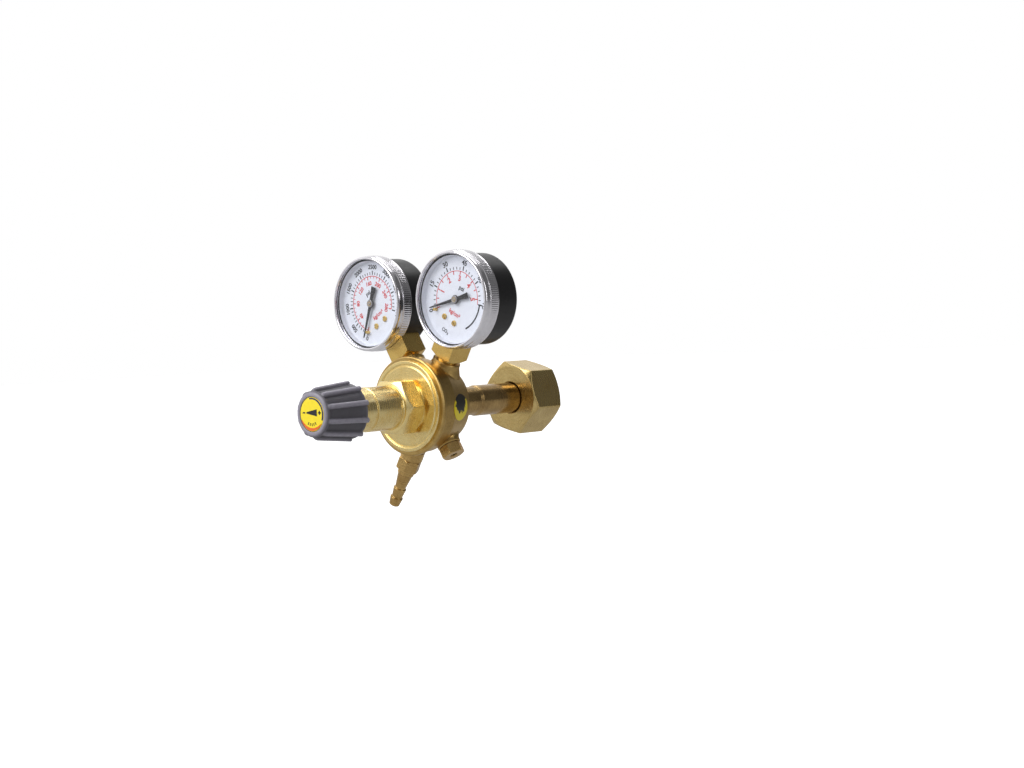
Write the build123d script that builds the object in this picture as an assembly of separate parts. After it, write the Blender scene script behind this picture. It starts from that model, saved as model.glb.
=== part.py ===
"""Carbon dioxide regulator: a bottle pressure regulator with two gauges, one STEP file per sub-part.

Millimetres, +Z up. The main axis is Y: the inlet nut faces +Y and the control knob faces -Y.
The origin is the centre of the inlet's sealing face. A clock angle is seen from the knob:
0 is up, and it grows clockwise. A station is a place along Y.
"""

from build123d import *
import math
import os

# Regulator body, stations along Y
PORT_Y = -64.0
BODY_REAR_Y = -55.0
BODY_REAR_R = 17.6
BODY_CREASE_Y = -69.9
BODY_CREASE_R = 22.0
RIM_REAR_Y = -76.4
RIM_FRONT_Y = -79.0
RIM_R = 23.25
DIAPHRAGM_SEAT_Y = -74.0
LOW_CHAMBER_R = 17.0
LOW_CHAMBER_Y = -71.0
HIGH_CHAMBER_R = 7.0
HIGH_CHAMBER_Y = (-66.5, -61.5)

# The four radial ports: clock angle of each, and what they share
CYLINDER_GAUGE_CLOCK = -30.0
OUTLET_GAUGE_CLOCK = 30.0
RELIEF_CLOCK = 150.0
HOSE_CLOCK = -150.0
PORT_FLOOR = 12.5
FITTING_FOOT = 15.0
GAUGE_BOSS = (6.6, 24.0)
RELIEF_BOSS = (5.6, 22.4)
HOSE_BOSS = (5.6, 23.8)
BOSS_FLARE = 3.0
PASSAGE_R = 1.0

# Bonnet, diaphragm and adjusting screw
FLANGE_R = 21.3
FLANGE_FRONT_Y = -80.5
BONNET_HEX_AF = 24.4
BONNET_HEX_Y = (-91.4, -82.1)
HEX_CHAMFER = 1.9
TUBE_R = 10.3
TUBE_GROOVE_Y = -108.0
TUBE_END_Y = -119.0
SPRING_CAVITY_R = 8.6
SPRING_CAVITY_Y = -107.0
DIAPHRAGM_THICK = 0.8
SLIP_RING_THICK = 0.8
SCREW_R = 5.0
SCREW_CLEARANCE = 0.05
SCREW_Y = (-135.0, -104.0)
BUTTON_R = 8.1
BUTTON_Y = (-103.95, -100.5)
PLATE_R = 12.0
PLATE_FRONT_Y = -77.0
SPIGOT_R = 5.0

# Knob
KNOB_Y = (-139.3, -116.4)
KNOB_FRONT_R = 10.4
KNOB_REAR_R = 12.6
KNOB_RIBS = 10
RIB_R = 1.8
KNOB_HOLLOW_R = 10.9
KNOB_HOLLOW_Y = -125.8
LABEL_R = 7.7
LABEL_Y = (-139.0, -138.6)

# Inlet stem and nut, W21.8 x 1/14 cylinder thread
STEM_R = 7.4
NECK_R = 7.0
NECK_Y = -34.7
STEM_THREAD_R = 6.6
STEM_END_Y = -61.0
NIPPLE_R = 9.2
NIPPLE_REAR_Y = -6.0
WASHER_THICK = 1.6
WASHER_R = (4.0, 8.6)
NUT_AF = 32.0
NUT_Y = (-9.0, 10.4)
NUT_CORNER_CLOCK = -14.0
NUT_CHAMFER = 2.0
NUT_THREAD_R = 9.74
NUT_RELIEF_R = 10.0
NUT_BORE_R = 7.8
NUT_SHOULDER_Y = -6.3
BORE_R = 2.5
FILTER_R = 3.6
FILTER_Y = (-9.6, -2.0)
SPRING_POCKET_R = 3.6
SPRING_POCKET_Y = -52.0

# Round foil label on the side of the body
STICKER_CLOCK = 94.0
STICKER_Y = -64.7
STICKER_R = 6.25

# Seat valve
SEAT_Y = -66.2
SEAT_R = 4.0
SEAT_BORE_R = 1.4
PIN_R = 0.8
POPPET_R = 3.0
POPPET_REAR_Y = -61.2
POPPET_GAP = 0.05

# Outlet barb and relief valve: heights are distances from the main axis
HOSE_THREAD_R = 4.8
HOSE_HEX_AF = 10.0
HOSE_HEX_Z = (29.8, 35.9)
HOSE_TIP_Z = 55.75
HOSE_BORE_R = 1.4
RELIEF_THREAD_R = 4.2
RELIEF_HEX_AF = 9.8
RELIEF_HEX_Z = (22.5, 27.6)
RELIEF_CHAMBER_R = 2.6
RELIEF_CHAMBER_Z = (16.6, 26.0)
RELIEF_VENT_R = 1.6

# Gauges: places are from the gauge's own centre, u to its right and w to its top
GAUGE_CENTRE_R = 56.1
BEZEL_R = 22.8
BEZEL_Y = (-77.2, -68.0)
WINDOW_R = 21.0
LENS_R = 21.7
LENS_Y = (-76.3, -75.1)
CASE_R = 21.2
CASE_WALL = 0.7
CASE_Y = (-75.0, -53.6)
DIAL_R = 20.4
DIAL_Y = (-72.4, -71.8)
POINTER_Y = (-73.9, -73.5)
POINTER_TIP = 17.3
POINTER_TAIL = 8.2
ZERO_CLOCK = -131.0
STOP_PIN_CLOCK = -137.0
STOP_PIN_RADIUS = 13.9
DIAL_SCREWS_UW = [(-3.4, -10.6), (3.4, -10.6)]
SOCKET_SQUARE = 12.25
SOCKET_Z = (25.5, 34.9)
SOCKET_THREAD_R = 4.86
NECK_HOLE_R = 3.5
TIP_BLOCK_W = (-20.4, -11.1)
TIP_BLOCK_Y = (-66.5, -59.5)
TIP_BLOCK_HALF_WIDTH = 5.0
TUBE_ARC_R = 16.0
TUBE_CLOCKS = (-163.0, 100.0)
FRONT_PLATE_Y = (-71.1, -70.4)
BACK_PLATE_Y = (-67.3, -66.5)
PILLARS_UW = [(-5.2, -12.2), (-5.0, 2.6), (7.2, 2.6), (5.2, -13.2)]
ARBOR_R = 0.5
BEARING_CLEARANCE = 0.03
GEAR_MODULE = 0.3
PINION_TEETH = 8
SECTOR_TEETH = 60
SECTOR_TOOTH_NUMBERS = (-1, 7)
TOOTH_HALF_WIDTH = 0.13
SECTOR_PIVOT_CLOCK = 150.0
ARC_STEPS = 12
SECTOR_TAIL = 4.5
TAIL_CLOCK = 120.0
SECTOR_Y = (-69.9, -69.1)
PINION_Y = (-70.1, -68.9)
LINK_Y = (-68.9, -68.4)
LINK_END_UW = (15.2, -3.5)

SECTOR_PIVOT_R = GEAR_MODULE * (PINION_TEETH + SECTOR_TEETH) / 2


def around(clock, radius):
    """The point at a clock angle and radius, as (x or u, z or w)."""
    angle = math.radians(clock)
    return radius * math.sin(angle), radius * math.cos(angle)


def lathe(outline):
    """Turn an outline of (station, radius) points about the main axis."""
    points = [(radius, station, 0) for station, radius in outline]
    return revolve(make_face(Polyline(*points, close=True)), Axis.Y)


def turned(outline):
    """Turn an outline of (height, radius) points about Z, for the radial fittings."""
    points = [(radius, 0, height) for height, radius in outline]
    return revolve(make_face(Polyline(*points, close=True)), Axis.Z)


def rod(radius, y0, y1, u=0.0, w=0.0):
    """A cylinder along Y between two stations."""
    return Pos(u, (y0 + y1) / 2, w) * Rot(90, 0, 0) * Cylinder(radius, abs(y1 - y0))


def pipe(outer, inner, y0, y1):
    """A ring along Y between two stations."""
    return rod(outer, y0, y1) - rod(inner, y0 - 1, y1 + 1)


def hexagon(across_flats, y0, y1, corner_clock):
    """A hexagonal bar along Y with one corner at a clock angle."""
    blank = extrude(RegularPolygon(across_flats / 2, 6, major_radius=False), amount=y1 - y0)
    return Rot(0, corner_clock - 90, 0) * Pos(0, y0, 0) * Rot(-90, 0, 0) * blank


def upright(radius, z0, z1):
    """A cylinder along Z between two heights, on the port station."""
    return Pos(0, PORT_Y, (z0 + z1) / 2) * Cylinder(radius, z1 - z0)


def plate(outline, y0, y1):
    """A flat plate of (u, w) points between two stations."""
    face = make_face(Polyline(*[(u, y0, w) for u, w in outline], close=True))
    return extrude(face, amount=y1 - y0, dir=(0, 1, 0))


def bar(start, end, width, y0, y1):
    """A straight bar between two (u, w) points, with round ends."""
    run = math.hypot(end[0] - start[0], end[1] - start[1])
    side_u = (end[1] - start[1]) / run * width / 2
    side_w = -(end[0] - start[0]) / run * width / 2
    outline = [
        (start[0] + side_u, start[1] + side_w),
        (end[0] + side_u, end[1] + side_w),
        (end[0] - side_u, end[1] - side_w),
        (start[0] - side_u, start[1] - side_w),
    ]
    ends = rod(width / 2, y0, y1, *start) + rod(width / 2, y0, y1, *end)
    return plate(outline, y0, y1) + ends


def coil(mean_radius, wire_radius, length, turns):
    """A coil spring standing on Z, with its wire's middle from 0 to its length."""
    path = Helix(pitch=length / turns, height=length, radius=mean_radius)
    section = Plane(origin=path @ 0, z_dir=path % 0) * Circle(wire_radius)
    return sweep(section, path=path, is_frenet=True)


def coil_along_y(mean_radius, wire_radius, y0, y1, turns):
    """A coil spring that fills the space between two stations."""
    spring = coil(mean_radius, wire_radius, y1 - y0 - 2.4 * wire_radius, turns)
    return Pos(0, y0 + 1.2 * wire_radius, 0) * Rot(-90, 0, 0) * spring


# Regulator body

def body_outline():
    """The outside of the body from its rear edge to its front face."""
    return [
        (BODY_REAR_Y, 0),
        (BODY_REAR_Y, BODY_REAR_R - 1.0),
        (BODY_REAR_Y - 1.0, BODY_REAR_R),
        (BODY_CREASE_Y, BODY_CREASE_R),
        (RIM_REAR_Y + 0.3, BODY_CREASE_R + 0.3),
        (RIM_REAR_Y - 0.4, RIM_R - 0.25),
        (RIM_REAR_Y - 0.8, RIM_R),
        (RIM_FRONT_Y + 0.7, RIM_R),
        (RIM_FRONT_Y + 0.2, RIM_R - 0.2),
        (RIM_FRONT_Y, RIM_R - 0.7),
        (RIM_FRONT_Y, 0),
    ]


def boss(size, clock):
    """A round port boss that stands out of the body to a height."""
    radius, top = size
    shape = turned(
        [
            (FITTING_FOOT, 0),
            (FITTING_FOOT, radius + BOSS_FLARE),
            (top - 3.2, radius + 0.5),
            (top - 2.2, radius + 0.1),
            (top - 1.6, radius),
            (top - 0.4, radius),
            (top, radius - 0.4),
            (top, 0),
        ]
    )
    return Rot(0, clock, 0) * Pos(0, PORT_Y, 0) * shape


def port(thread_radius, clock, high_side):
    """The hole for a fitting, with its passage to the high or low chamber."""
    hole = upright(thread_radius, PORT_FLOOR, 2 * RIM_R)
    if high_side:
        passage = upright(PASSAGE_R, HIGH_CHAMBER_R - 1, PORT_FLOOR + 1)
    else:
        depth = (LOW_CHAMBER_Y - 1, PORT_Y)
        passage = rod(PASSAGE_R, *depth, 0, PORT_FLOOR + PASSAGE_R + 0.1)
    return Rot(0, clock, 0) * (hole + passage)


def regulator_body():
    solid = lathe(body_outline())
    for size, clock in (
        (GAUGE_BOSS, CYLINDER_GAUGE_CLOCK),
        (GAUGE_BOSS, OUTLET_GAUGE_CLOCK),
        (RELIEF_BOSS, RELIEF_CLOCK),
        (HOSE_BOSS, HOSE_CLOCK),
    ):
        solid += boss(size, clock)
    solid -= rod(FLANGE_R, RIM_FRONT_Y - 1, DIAPHRAGM_SEAT_Y)
    solid -= rod(LOW_CHAMBER_R, DIAPHRAGM_SEAT_Y - 1, LOW_CHAMBER_Y)
    solid -= rod(SEAT_R, LOW_CHAMBER_Y - 1, HIGH_CHAMBER_Y[0] + 1)
    solid -= rod(HIGH_CHAMBER_R, *HIGH_CHAMBER_Y)
    solid -= rod(STEM_THREAD_R, HIGH_CHAMBER_Y[1] - 1, BODY_REAR_Y + 1)
    solid -= port(SOCKET_THREAD_R, CYLINDER_GAUGE_CLOCK, True)
    solid -= port(SOCKET_THREAD_R, OUTLET_GAUGE_CLOCK, False)
    solid -= port(RELIEF_THREAD_R, RELIEF_CLOCK, False)
    solid -= port(HOSE_THREAD_R, HOSE_CLOCK, False)
    return solid


def body_sticker():
    """A round foil label that wraps the tapered side of the body."""
    thick = 0.15
    skin = lathe(
        [
            (BODY_REAR_Y - 1.0, BODY_REAR_R),
            (BODY_REAR_Y - 1.0, BODY_REAR_R + thick),
            (BODY_CREASE_Y, BODY_CREASE_R + thick),
            (RIM_REAR_Y + 0.3, BODY_CREASE_R + 0.3 + thick),
            (RIM_REAR_Y + 0.3, BODY_CREASE_R + 0.3),
            (BODY_CREASE_Y, BODY_CREASE_R),
        ]
    )
    punch = Rot(0, STICKER_CLOCK, 0) * Pos(0, STICKER_Y, 20) * Cylinder(STICKER_R, 20)
    return skin & punch


# Bonnet side

def bonnet():
    """Flange, hexagon and tube in one bar, bored for the spring and threaded for the screw."""
    turned_bar = lathe(
        [
            (DIAPHRAGM_SEAT_Y - DIAPHRAGM_THICK - SLIP_RING_THICK, 0),
            (DIAPHRAGM_SEAT_Y - DIAPHRAGM_THICK - SLIP_RING_THICK, FLANGE_R),
            (FLANGE_FRONT_Y + 0.7, FLANGE_R),
            (FLANGE_FRONT_Y + 0.2, FLANGE_R - 0.2),
            (FLANGE_FRONT_Y, FLANGE_R - 0.7),
            (FLANGE_FRONT_Y, 17.6),
            (FLANGE_FRONT_Y - 0.25, 17.3),
            (FLANGE_FRONT_Y - 0.25, 14.3),
            (BONNET_HEX_Y[1] + 0.2, 13.9),
            (BONNET_HEX_Y[1] - 0.3, 12.0),
            (BONNET_HEX_Y[0], TUBE_R + 0.3),
            (BONNET_HEX_Y[0] - 0.3, TUBE_R),
            (TUBE_GROOVE_Y + 0.35, TUBE_R),
            (TUBE_GROOVE_Y + 0.35, TUBE_R - 0.5),
            (TUBE_GROOVE_Y - 0.35, TUBE_R - 0.5),
            (TUBE_GROOVE_Y - 0.35, TUBE_R - 0.2),
            (TUBE_END_Y + 0.6, TUBE_R - 0.2),
            (TUBE_END_Y, TUBE_R - 0.8),
            (TUBE_END_Y, 0),
        ]
    )
    corner = BONNET_HEX_AF / math.sqrt(3)
    chamfer = lathe(
        [
            (BONNET_HEX_Y[1], 0),
            (BONNET_HEX_Y[1], corner),
            (BONNET_HEX_Y[0] + HEX_CHAMFER, corner),
            (BONNET_HEX_Y[0], corner - 1.4 * HEX_CHAMFER),
            (BONNET_HEX_Y[0], 0),
        ]
    )
    solid = turned_bar + (hexagon(BONNET_HEX_AF, *BONNET_HEX_Y, 30) & chamfer)
    solid -= rod(PLATE_R + 1.2, FLANGE_FRONT_Y + 1.5, DIAPHRAGM_SEAT_Y)
    solid -= rod(SPRING_CAVITY_R, SPRING_CAVITY_Y, DIAPHRAGM_SEAT_Y)
    solid -= rod(SCREW_R + SCREW_CLEARANCE, TUBE_END_Y - 1, SPRING_CAVITY_Y + 1)
    return solid


def diaphragm():
    return rod(FLANGE_R - 0.1, DIAPHRAGM_SEAT_Y - DIAPHRAGM_THICK, DIAPHRAGM_SEAT_Y)


def slip_ring():
    front = DIAPHRAGM_SEAT_Y - DIAPHRAGM_THICK
    return pipe(FLANGE_R - 0.1, LOW_CHAMBER_R, front - SLIP_RING_THICK, front)


def diaphragm_plate():
    disc = rod(PLATE_R, PLATE_FRONT_Y, DIAPHRAGM_SEAT_Y - DIAPHRAGM_THICK)
    return disc + rod(SPIGOT_R, PLATE_FRONT_Y - 2.0, PLATE_FRONT_Y)


def regulating_spring():
    return coil_along_y(6.5, 0.9, BUTTON_Y[1], PLATE_FRONT_Y, 6)


def spring_button():
    return rod(BUTTON_R, *BUTTON_Y) + rod(SPIGOT_R, BUTTON_Y[1], BUTTON_Y[1] + 2.5)


def adjusting_screw():
    return lathe(
        [
            (SCREW_Y[0], 0),
            (SCREW_Y[0], SCREW_R),
            (SCREW_Y[1] - 1.5, SCREW_R),
            (SCREW_Y[1], 2.5),
            (SCREW_Y[1], 0),
        ]
    )


def knob():
    """A tapered grip with rounded ribs, hollow behind, with a shallow seat for its label."""
    front, rear = KNOB_Y
    solid = lathe(
        [
            (front, 0),
            (front, KNOB_FRONT_R - 0.9),
            (front + 0.9, KNOB_FRONT_R),
            (rear, KNOB_REAR_R),
            (rear, 0),
        ]
    )
    length = rear - front - 2.4
    lean = math.degrees(math.atan2(KNOB_REAR_R - KNOB_FRONT_R, rear - front))
    rib = Cylinder(RIB_R, length) + Pos(0, 0, -length / 2) * Sphere(RIB_R)
    middle = (KNOB_REAR_R + KNOB_FRONT_R) / 2 + 1.15 - RIB_R
    rib = Pos(0, (front + rear) / 2 + 1.7, middle) * Rot(-90 + lean, 0, 0) * rib
    for number in range(KNOB_RIBS):
        solid += Rot(0, number * 360 / KNOB_RIBS, 0) * rib
    solid -= rod(KNOB_HOLLOW_R, KNOB_HOLLOW_Y, rear + 3)
    solid -= rod(SCREW_R, SCREW_Y[0], KNOB_HOLLOW_Y + 1)
    solid -= rod(LABEL_R + 0.1, front - 1, LABEL_Y[1])
    return solid


def knob_label():
    return rod(LABEL_R, *LABEL_Y)


# Inlet side

def inlet_stem():
    """The tube with its nipple head, threaded into the body, bored right through."""
    outside = lathe(
        [
            (-WASHER_THICK, 0),
            (-WASHER_THICK, NIPPLE_R - 0.4),
            (-WASHER_THICK - 0.4, NIPPLE_R),
            (NIPPLE_REAR_Y, NIPPLE_R),
            (NIPPLE_REAR_Y, STEM_R),
            (NECK_Y, STEM_R),
            (NECK_Y - 0.4, STEM_R - 0.4),
            (NECK_Y - 1.0, STEM_R - 0.4),
            (NECK_Y - 1.3, NECK_R),
            (BODY_REAR_Y, NECK_R),
            (BODY_REAR_Y, STEM_THREAD_R),
            (STEM_END_Y, STEM_THREAD_R),
            (STEM_END_Y, 0),
        ]
    )
    bore = rod(BORE_R, STEM_END_Y - 1, 1) + rod(FILTER_R, FILTER_Y[0], 1)
    return outside - bore - rod(SPRING_POCKET_R, STEM_END_Y - 1, SPRING_POCKET_Y)


def inlet_filter():
    return rod(FILTER_R, *FILTER_Y)


def inlet_washer():
    return pipe(WASHER_R[1], WASHER_R[0], -WASHER_THICK, 0)


def inlet_nut():
    """The union nut: hexagon with turned chamfers, threaded mouth, relief and shoulder."""
    corner = NUT_AF / math.sqrt(3)
    chamfer_r = NUT_AF / 2 - 0.1
    envelope = lathe(
        [
            (NUT_Y[0], 0),
            (NUT_Y[0], chamfer_r),
            (NUT_Y[0] + NUT_CHAMFER, corner + 0.1),
            (NUT_Y[1] - NUT_CHAMFER, corner + 0.1),
            (NUT_Y[1], chamfer_r),
            (NUT_Y[1], 0),
        ]
    )
    hollow = lathe(
        [
            (NUT_Y[0] - 1, 0),
            (NUT_Y[0] - 1, NUT_BORE_R),
            (NUT_SHOULDER_Y, NUT_BORE_R),
            (NUT_SHOULDER_Y, NUT_RELIEF_R),
            (0, NUT_RELIEF_R),
            (0, NUT_THREAD_R),
            (NUT_Y[1] - 1.0, NUT_THREAD_R),
            (NUT_Y[1] + 0.2, NUT_THREAD_R + 1.2),
            (NUT_Y[1] + 0.2, 0),
        ]
    )
    return (hexagon(NUT_AF, *NUT_Y, NUT_CORNER_CLOCK) & envelope) - hollow


# Seat valve

def valve_seat():
    return lathe(
        [
            (LOW_CHAMBER_Y - 1.4, SEAT_BORE_R),
            (LOW_CHAMBER_Y - 1.4, SEAT_R + 1.2),
            (LOW_CHAMBER_Y, SEAT_R + 1.2),
            (LOW_CHAMBER_Y, SEAT_R),
            (HIGH_CHAMBER_Y[0], SEAT_R),
            (SEAT_Y, SEAT_BORE_R + 0.5),
            (SEAT_Y, SEAT_BORE_R),
        ]
    )


def valve_pin():
    return rod(PIN_R, DIAPHRAGM_SEAT_Y, SEAT_Y + POPPET_GAP)


def valve_poppet():
    return rod(POPPET_R, SEAT_Y + POPPET_GAP, POPPET_REAR_Y) + rod(1.4, POPPET_REAR_Y, POPPET_REAR_Y + 2)


def poppet_spring():
    return coil_along_y(2.4, 0.35, POPPET_REAR_Y, SPRING_POCKET_Y, 7)


# Outlet barb and relief valve, each built upright and then turned to its clock angle

def hex_upright(across_flats, z0, z1):
    """A hexagonal bar along Z on the port station, chamfered at both ends."""
    outline = RegularPolygon(across_flats / 2, 6, major_radius=False)
    corner = across_flats / math.sqrt(3)
    envelope = turned(
        [
            (z0, 0),
            (z0, across_flats / 2),
            (z0 + 0.4, corner + 0.05),
            (z1 - 0.4, corner + 0.05),
            (z1, across_flats / 2),
            (z1, 0),
        ]
    )
    solid = Pos(0, 0, z0) * extrude(outline, amount=z1 - z0) & envelope
    return Pos(0, PORT_Y, 0) * solid


def outlet_barb():
    """Threaded foot, collar, hexagon and a two-ring hose tail, drilled through."""
    collar_top, shoulder_top = HOSE_HEX_Z[0], 38.5
    shape = turned(
        [
            (FITTING_FOOT, 0),
            (FITTING_FOOT, HOSE_THREAD_R),
            (HOSE_BOSS[1], HOSE_THREAD_R),
            (HOSE_BOSS[1] + 0.4, 4.3),
            (HOSE_BOSS[1] + 0.8, 5.5),
            (collar_top - 0.5, 5.5),
            (collar_top - 0.3, 5.0),
            (collar_top + 0.5, 5.0),
            (HOSE_HEX_Z[1], 4.6),
            (HOSE_HEX_Z[1] + 0.2, 4.0),
            (shoulder_top - 0.4, 4.0),
            (shoulder_top, 3.6),
            (45.9, 2.55),
            (46.4, 3.15),
            (51.0, 2.5),
            (51.5, 3.1),
            (HOSE_TIP_Z - 0.3, 2.5),
            (HOSE_TIP_Z, 2.2),
            (HOSE_TIP_Z, 0),
        ]
    )
    solid = Pos(0, PORT_Y, 0) * shape + hex_upright(HOSE_HEX_AF, *HOSE_HEX_Z)
    solid -= upright(HOSE_BORE_R, FITTING_FOOT - 1, HOSE_TIP_Z + 1)
    return Rot(0, HOSE_CLOCK, 0) * solid


def relief_body():
    """Threaded foot and hexagon, with the poppet's chamber and its vent hole."""
    high = RELIEF_CHAMBER_Z[1]
    solid = upright(RELIEF_THREAD_R, FITTING_FOOT, RELIEF_HEX_Z[0] + 1)
    solid += hex_upright(RELIEF_HEX_AF, *RELIEF_HEX_Z)
    solid -= upright(RELIEF_CHAMBER_R, FITTING_FOOT - 1, high)
    solid -= upright(RELIEF_VENT_R, high - 1, RELIEF_HEX_Z[1] + 1)
    return Rot(0, RELIEF_CLOCK, 0) * solid


def relief_seat():
    low = RELIEF_CHAMBER_Z[0]
    ring = upright(RELIEF_CHAMBER_R, FITTING_FOOT, low) - upright(PASSAGE_R, FITTING_FOOT - 1, low + 1)
    return Rot(0, RELIEF_CLOCK, 0) * ring


def relief_poppet():
    low = RELIEF_CHAMBER_Z[0] + POPPET_GAP
    solid = upright(RELIEF_CHAMBER_R - 0.4, low, low + 2.0) + upright(1.0, low + 2.0, low + 4.0)
    return Rot(0, RELIEF_CLOCK, 0) * solid


def relief_spring():
    low = RELIEF_CHAMBER_Z[0] + POPPET_GAP + 2.0 + 0.3
    length = RELIEF_CHAMBER_Z[1] - low - 0.3
    return Rot(0, RELIEF_CLOCK, 0) * Pos(0, PORT_Y, low) * coil(1.7, 0.25, length, 6)


# Gauge: every part is built with its centre on the main axis, then set on its port

def on_gauge(shape, clock):
    """Move a part from the main axis to a gauge's centre, rolled with its port."""
    return Rot(0, clock, 0) * Pos(0, 0, GAUGE_CENTRE_R) * shape


def gauge_case():
    outside = lathe(
        [
            (CASE_Y[0], 0),
            (CASE_Y[0], CASE_R),
            (CASE_Y[1] - 1.6, CASE_R),
            (CASE_Y[1] - 0.5, CASE_R - 0.5),
            (CASE_Y[1], CASE_R - 1.6),
            (CASE_Y[1], 0),
        ]
    )
    inside = rod(CASE_R - CASE_WALL, CASE_Y[0] - 1, CASE_Y[1] - 1.2)
    neck_hole = Pos(0, PORT_Y, -CASE_R) * Cylinder(NECK_HOLE_R, 6)
    return outside - inside - neck_hole


def gauge_bezel():
    return lathe(
        [
            (BEZEL_Y[1], CASE_R),
            (BEZEL_Y[1], BEZEL_R - 0.5),
            (BEZEL_Y[1] - 0.4, BEZEL_R),
            (BEZEL_Y[0] + 1.2, BEZEL_R),
            (BEZEL_Y[0] + 0.3, BEZEL_R - 0.3),
            (BEZEL_Y[0], BEZEL_R - 0.9),
            (BEZEL_Y[0], WINDOW_R + 0.3),
            (BEZEL_Y[0] + 0.3, WINDOW_R),
            (LENS_Y[0], WINDOW_R),
            (LENS_Y[0], LENS_R),
            (CASE_Y[0], LENS_R),
            (CASE_Y[0], CASE_R),
        ]
    )


def gauge_lens():
    return rod(LENS_R, *LENS_Y)


def gauge_dial():
    solid = rod(DIAL_R, *DIAL_Y) - rod(1.3, DIAL_Y[0] - 1, DIAL_Y[1] + 1)
    for u, w in DIAL_SCREWS_UW:
        solid -= rod(0.8, DIAL_Y[0] - 1, DIAL_Y[1] + 1, u, w)
    return solid - rod(0.5, DIAL_Y[0] - 1, DIAL_Y[1] + 1, *around(STOP_PIN_CLOCK, STOP_PIN_RADIUS))


def stop_pin():
    return rod(0.5, POINTER_Y[0] - 0.4, DIAL_Y[1], *around(STOP_PIN_CLOCK, STOP_PIN_RADIUS))


def dial_screws():
    """Two slotted screws that hold the dial to the movement's front plate."""
    screws = []
    for u, w in DIAL_SCREWS_UW:
        head = rod(1.6, DIAL_Y[0] - 0.6, DIAL_Y[0], u, w)
        shank = rod(0.8, DIAL_Y[0], FRONT_PLATE_Y[1] - 0.1, u, w)
        slot = Pos(u, DIAL_Y[0] - 0.6, w) * Rot(0, 35, 0) * Box(4.0, 0.5, 0.45)
        screws.append(head + shank - slot)
    return Compound(children=screws)


def gauge_socket(clock):
    """Threaded foot, square block and the inner block that carries tube and movement."""
    solid = upright(SOCKET_THREAD_R, FITTING_FOOT, SOCKET_Z[0] + 1)
    half = SOCKET_SQUARE / 2
    block = Pos(0, PORT_Y, SOCKET_Z[0] + 5.5) * Box(SOCKET_SQUARE, SOCKET_SQUARE, 11.0)
    envelope = turned(
        [
            (SOCKET_Z[0], 0),
            (SOCKET_Z[0], half + 0.2),
            (SOCKET_Z[0] + 1.3, 1.5 * half),
            (SOCKET_Z[1] + 2, 1.5 * half),
            (SOCKET_Z[1] + 2, 0),
        ]
    )
    block = block & (Pos(0, PORT_Y, 0) * envelope)
    block -= Pos(0, 0, GAUGE_CENTRE_R) * rod(CASE_R, CASE_Y[0] - 5, CASE_Y[1] + 5)
    block -= Pos(0, 0, GAUGE_CENTRE_R) * rod(BEZEL_R + 0.1, BEZEL_Y[0], BEZEL_Y[1] + 0.1)
    neck = upright(NECK_HOLE_R, SOCKET_Z[0], GAUGE_CENTRE_R + TIP_BLOCK_W[0] + 1)
    solid += block + neck + Pos(0, 0, GAUGE_CENTRE_R) * inner_block()
    solid -= upright(PASSAGE_R, FITTING_FOOT - 1, GAUGE_CENTRE_R + TIP_BLOCK_W[1] - 2)
    return Rot(0, clock, 0) * solid


def inner_block():
    """The block inside the case that the tube and the movement are fixed to."""
    bottom, top = TIP_BLOCK_W[0] + 0.8, TIP_BLOCK_W[1]
    half = TIP_BLOCK_HALF_WIDTH
    return plate([(-half, bottom), (half, bottom), (half, top), (-half, top)], *TIP_BLOCK_Y)


def bourdon_tube():
    """A flattened C-shaped tube, closed at its tip, with a post for the link."""
    y0, y1 = TIP_BLOCK_Y[0] + 0.5, TIP_BLOCK_Y[1] - 0.5

    def ring_of(radial, margin, start, end):
        inner, outer = TUBE_ARC_R - radial / 2, TUBE_ARC_R + radial / 2
        section = [(inner, y0 + margin), (outer, y0 + margin), (outer, y1 - margin), (inner, y1 - margin)]
        face = make_face(Polyline(*[(r, y, 0) for r, y in section], close=True))
        return Rot(0, start - 90, 0) * revolve(face, Axis.Y, end - start)

    start, end = TUBE_CLOCKS
    tube = ring_of(1.8, 0, start, end) - ring_of(1.1, 0.35, start - 5, end - 3)
    tip_u, tip_w = around(end - 1.5, TUBE_ARC_R)
    post = rod(0.8, LINK_Y[1] + 0.3, y0 + 1, tip_u, tip_w)
    return (tube + post) - inner_block()


def movement_frame():
    """Two plates on four pillars, with bearing holes and posts for the dial."""
    outline = [(-6.4, -14.4), (6.6, -14.4), (8.4, -12.0), (8.4, 3.8), (-6.4, 3.8)]
    solid = plate(outline, *FRONT_PLATE_Y) + plate(outline, *BACK_PLATE_Y)
    for u, w in PILLARS_UW:
        solid += rod(0.8, FRONT_PLATE_Y[0], BACK_PLATE_Y[1], u, w)
    for u, w in DIAL_SCREWS_UW:
        solid += rod(1.3, DIAL_Y[1], FRONT_PLATE_Y[1], u, w)
        solid -= rod(0.8, DIAL_Y[1] - 1, FRONT_PLATE_Y[1] - 0.1, u, w)
    pivot = around(SECTOR_PIVOT_CLOCK, SECTOR_PIVOT_R)
    for radius, place in ((ARBOR_R, (0, 0)), (ARBOR_R + 0.1, pivot)):
        solid -= rod(radius + BEARING_CLEARANCE, FRONT_PLATE_Y[0] - 1, BACK_PLATE_Y[1] + 0.5, *place)
    return solid


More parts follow.
